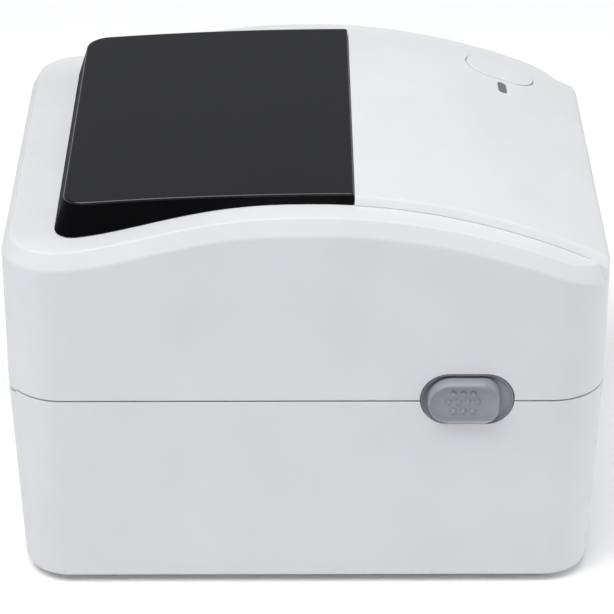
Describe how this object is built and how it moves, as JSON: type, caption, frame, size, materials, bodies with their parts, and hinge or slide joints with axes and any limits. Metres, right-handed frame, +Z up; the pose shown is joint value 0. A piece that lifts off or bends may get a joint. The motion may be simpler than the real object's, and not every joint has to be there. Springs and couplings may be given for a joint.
{
  "type": "thermal label printer",
  "caption": "Desktop thermal label printer with a hinged cover, side latches, feed button, label bay and a platen driven through gears.",
  "frame": {"origin": "middle of the footprint, on the surface the feet stand on", "axes": "+Z up, -Y towards the label exit, +Y towards the hinge, X across the printer"},
  "size_m": [0.184, 0.2176, 0.1565],
  "materials": {
    "case_white": "fine satin moulded ABS",
    "panel_black": "polished black",
    "latch_grey": "fine texture",
    "dark_plastic": "moulded texture",
    "nylon": "natural nylon",
    "rubber": "matt",
    "steel": "turned and plated",
    "aluminium": "extruded",
    "board_green": "solder mask",
    "ceramic": "glazed strip",
    "smoked": "smoked translucent"
  },
  "bodies": {
    "base": {"base_case": "case_white", "media_tray": "dark_plastic", "print_frame": "dark_plastic", "label_guide": "dark_plastic", "gap_sensor": "smoked", "main_board": "board_green", "dc_jack": "dark_plastic", "usb_socket": "steel", "switch_frame": "dark_plastic", "foot_front_left": "rubber", "foot_front_right": "rubber", "foot_rear_left": "rubber", "foot_rear_right": "rubber", "case_screw_front_left": "steel", "case_screw_front_right": "steel", "case_screw_rear_left": "steel", "case_screw_rear_right": "steel", "stepper_motor": "steel", "motor_screw_front": "steel", "motor_screw_rear": "steel", "platen_bush_left": "nylon", "platen_bush_right": "nylon", "idler_post": "steel", "hinge_pin_left": "steel", "hinge_pin_right": "steel", "latch_catch_left": "steel", "latch_catch_right": "steel", "guide_pivot": "steel"},
    "cover": {"top_cover": "case_white", "top_panel": "panel_black", "head_frame": "dark_plastic", "cover_screw_left": "steel", "cover_screw_right": "steel", "head_pivot_shaft": "steel", "tear_bar": "steel", "button_board": "board_green", "led_lens": "smoked", "latch_housing_left": "latch_grey", "latch_housing_right": "latch_grey", "latch_spring": "steel"},
    "platen": {"platen_shaft": "steel", "platen_rubber": "rubber", "platen_gear": "nylon"},
    "idler": {"idler_gear": "nylon"},
    "motor_rotor": {"motor_shaft": "steel", "motor_pinion": "steel"},
    "roll_holder_left": {"roll_holder_left": "dark_plastic"},
    "roll_holder_right": {"roll_holder_right": "dark_plastic"},
    "guide_pinion": {"guide_pinion": "nylon"},
    "latch_left": {"latch_button_left": "latch_grey"},
    "latch_right": {"latch_button_right": "latch_grey"},
    "latch_hooks": {"latch_shaft": "steel", "latch_hook_left": "dark_plastic", "latch_hook_right": "dark_plastic"},
    "feed_button": {"feed_button": "case_white"},
    "print_head": {"print_head": "aluminium", "thermal_strip": "ceramic", "head_spring_left": "steel", "head_spring_right": "steel"},
    "power_rocker": {"power_rocker": "dark_plastic"}
  },
  "joints": [
    {"name": "cover_open", "type": "hinge", "parent": "base", "child": "cover", "pos_m": [0, 0.1048, 0.08065], "axis": [-1, 0, 0], "range_deg": [0, 85]},
    {"name": "latch_left_slide", "type": "slide", "parent": "cover", "child": "latch_left", "axis": [0, -1, 0], "range_m": [0, 0.003], "stiffness_N_per_m": 400, "springref_m": -0.002},
    {"name": "latch_right_slide", "type": "slide", "parent": "cover", "child": "latch_right", "axis": [0, -1, 0], "range_m": [0, 0.003]},
    {"name": "latch_shaft_turn", "type": "hinge", "parent": "cover", "child": "latch_hooks", "pos_m": [0, -0.062, 0.1], "axis": [-1, 0, 0], "range_deg": [0, 9.1]},
    {"name": "feed_press", "type": "slide", "parent": "cover", "child": "feed_button", "axis": [0, 0.3433, -0.9392], "range_m": [0, 0.0008], "stiffness_N_per_m": 900, "springref_m": -0.0006},
    {"name": "head_lift", "type": "hinge", "parent": "cover", "child": "print_head", "pos_m": [0, -0.066, 0.093], "axis": [-1, 0, 0], "range_deg": [0, 3], "stiffness_Nm_per_rad": 3, "springref_deg": -4.58, "deforming": ["head_spring_left", "head_spring_right"]},
    {"name": "platen_spin", "type": "hinge", "parent": "base", "child": "platen", "pos_m": [0, -0.09, 0.0755], "axis": [1, 0, 0], "continuous": true},
    {"name": "idler_spin", "type": "hinge", "parent": "base", "child": "idler", "pos_m": [0, -0.07575, 0.05257], "axis": [1, 0, 0], "continuous": true},
    {"name": "motor_spin", "type": "hinge", "parent": "base", "child": "motor_rotor", "pos_m": [0, -0.08, 0.032], "axis": [1, 0, 0], "continuous": true},
    {"name": "holder_left_slide", "type": "slide", "parent": "base", "child": "roll_holder_left", "axis": [1, 0, 0], "range_m": [0, 0.04]},
    {"name": "holder_right_slide", "type": "slide", "parent": "base", "child": "roll_holder_right", "axis": [-1, 0, 0], "range_m": [0, 0.04]},
    {"name": "guide_pinion_turn", "type": "hinge", "parent": "base", "child": "guide_pinion", "pos_m": [0, 0.015, 0.0165], "axis": [0, 0, -1], "range_deg": [0, 290]},
    {"name": "rocker_tilt", "type": "hinge", "parent": "base", "child": "power_rocker", "pos_m": [0.059, 0.1039, 0.024], "axis": [1, 0, 0], "range_deg": [0, 16]}
  ],
  "couplings": [
    {"joint": "latch_right_slide", "follows": "latch_left_slide", "ratio": 1},
    {"joint": "latch_shaft_turn", "follows": "latch_left_slide", "rad_per_m": 52.632},
    {"joint": "idler_spin", "follows": "platen_spin", "ratio": -0.8},
    {"joint": "motor_spin", "follows": "platen_spin", "ratio": 2},
    {"joint": "holder_right_slide", "follows": "holder_left_slide", "ratio": 1},
    {"joint": "guide_pinion_turn", "follows": "holder_left_slide", "rad_per_m": 125}
  ]
}
